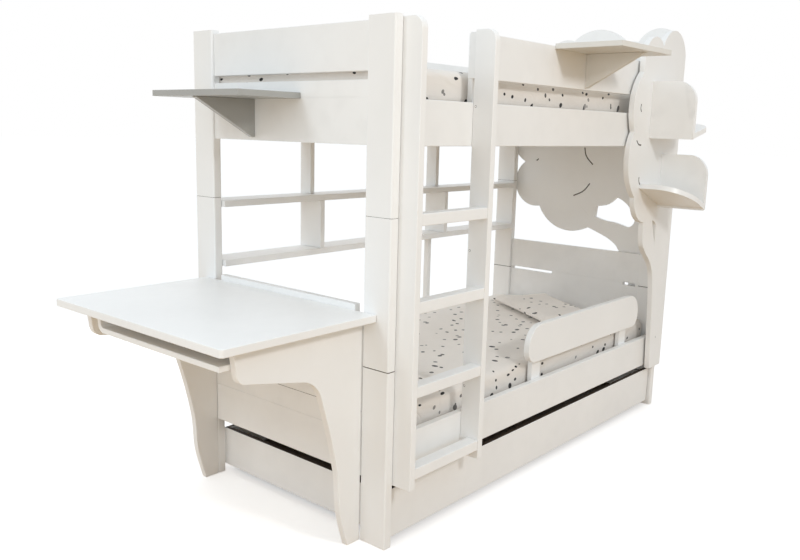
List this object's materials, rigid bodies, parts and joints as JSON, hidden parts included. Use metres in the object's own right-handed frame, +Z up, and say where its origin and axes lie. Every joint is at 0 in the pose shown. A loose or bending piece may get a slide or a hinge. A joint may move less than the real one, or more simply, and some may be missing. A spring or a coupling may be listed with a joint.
{
  "type": "bunk bed with desk",
  "caption": "White bunk bed with a ladder, a desk on one end, a tree-shaped end, hanging shelves, back shelves and a wheeled drawer underneath.",
  "frame": {"origin": "on the floor, in the middle of the whole object's bounding box", "axes": "+X along the bed from the desk end to the tree end, +Y from the ladder side to the back, +Z up"},
  "size_m": [2.6964, 1.263, 1.8873],
  "materials": {
    "white_lacquer": "satin warm white lacquer on board",
    "grey_lacquer": "satin mid grey lacquer on board",
    "cream_lacquer": "satin cream lacquer on board",
    "sheet_fabric": "white cotton sheet with small black spots",
    "wheel_plastic": "matt dark grey plastic"
  },
  "bodies": {
    "bed": {"front_left_post_lower": "white_lacquer", "front_left_post_upper": "white_lacquer", "front_right_post_lower": "white_lacquer", "front_right_post_upper": "white_lacquer", "back_left_post_lower": "white_lacquer", "back_left_post_upper": "white_lacquer", "back_right_post_lower": "white_lacquer", "back_right_post_upper": "white_lacquer", "upper_front_rail": "white_lacquer", "upper_back_rail": "white_lacquer", "lower_front_rail": "white_lacquer", "lower_back_rail": "white_lacquer", "upper_front_guard": "white_lacquer", "upper_back_guard": "white_lacquer", "guard_batten": "white_lacquer", "upper_left_end_board": "white_lacquer", "upper_left_guard": "white_lacquer", "upper_right_end_board": "white_lacquer", "upper_right_guard": "white_lacquer", "lower_left_end_rail": "white_lacquer", "lower_left_end_panel": "white_lacquer", "lower_right_end_rail": "white_lacquer", "lower_right_end_panel": "white_lacquer", "low_guard": "white_lacquer", "upper_slatted_base": "white_lacquer", "lower_slatted_base": "white_lacquer", "upper_mattress": "sheet_fabric", "lower_mattress": "sheet_fabric", "pillow": "sheet_fabric", "ladder_left_stile": "white_lacquer", "ladder_right_stile": "white_lacquer", "ladder_rung_1": "white_lacquer", "ladder_rung_2": "white_lacquer", "ladder_rung_3": "white_lacquer", "ladder_rung_4": "white_lacquer", "desk_top": "white_lacquer", "desk_front_side": "white_lacquer", "desk_back_side": "white_lacquer", "desk_tray": "white_lacquer", "tree_front_panel": "white_lacquer", "tree_end_panel": "white_lacquer", "tree_high_shelf": "white_lacquer", "tree_low_shelf": "white_lacquer", "cream_shelf": "cream_lacquer", "cream_shelf_bracket": "cream_lacquer", "grey_shelf": "grey_lacquer", "grey_shelf_bracket": "grey_lacquer", "back_low_shelf": "white_lacquer", "back_high_shelf": "white_lacquer", "back_left_upright": "white_lacquer", "back_right_upright": "white_lacquer"},
    "drawer": {"drawer_front": "white_lacquer", "drawer_left_side": "white_lacquer", "drawer_right_side": "white_lacquer", "drawer_back": "white_lacquer", "drawer_bottom": "white_lacquer"},
    "wheel_front_left": {"drawer_wheel_front_left": "wheel_plastic"},
    "wheel_front_right": {"drawer_wheel_front_right": "wheel_plastic"},
    "wheel_back_left": {"drawer_wheel_back_left": "wheel_plastic"},
    "wheel_back_right": {"drawer_wheel_back_right": "wheel_plastic"}
  },
  "joints": [
    {"name": "drawer_slide", "type": "slide", "parent": "bed", "child": "drawer", "axis": [0, -1, 0], "range_m": [0, 0.7]},
    {"name": "front_left_wheel_spin", "type": "hinge", "parent": "drawer", "child": "wheel_front_left", "pos_m": [-0.636, -0.2615, 0.028], "axis": [1, 0, 0], "continuous": true},
    {"name": "front_right_wheel_spin", "type": "hinge", "parent": "drawer", "child": "wheel_front_right", "pos_m": [1.2135, -0.2615, 0.028], "axis": [1, 0, 0], "continuous": true},
    {"name": "back_left_wheel_spin", "type": "hinge", "parent": "drawer", "child": "wheel_back_left", "pos_m": [-0.636, 0.4465, 0.028], "axis": [1, 0, 0], "continuous": true},
    {"name": "back_right_wheel_spin", "type": "hinge", "parent": "drawer", "child": "wheel_back_right", "pos_m": [1.2135, 0.4465, 0.028], "axis": [1, 0, 0], "continuous": true}
  ],
  "couplings": [
    {"joint": "front_left_wheel_spin", "follows": "drawer_slide", "rad_per_m": 35.714},
    {"joint": "front_right_wheel_spin", "follows": "drawer_slide", "rad_per_m": 35.714},
    {"joint": "back_left_wheel_spin", "follows": "drawer_slide", "rad_per_m": 35.714},
    {"joint": "back_right_wheel_spin", "follows": "drawer_slide", "rad_per_m": 35.714}
  ]
}
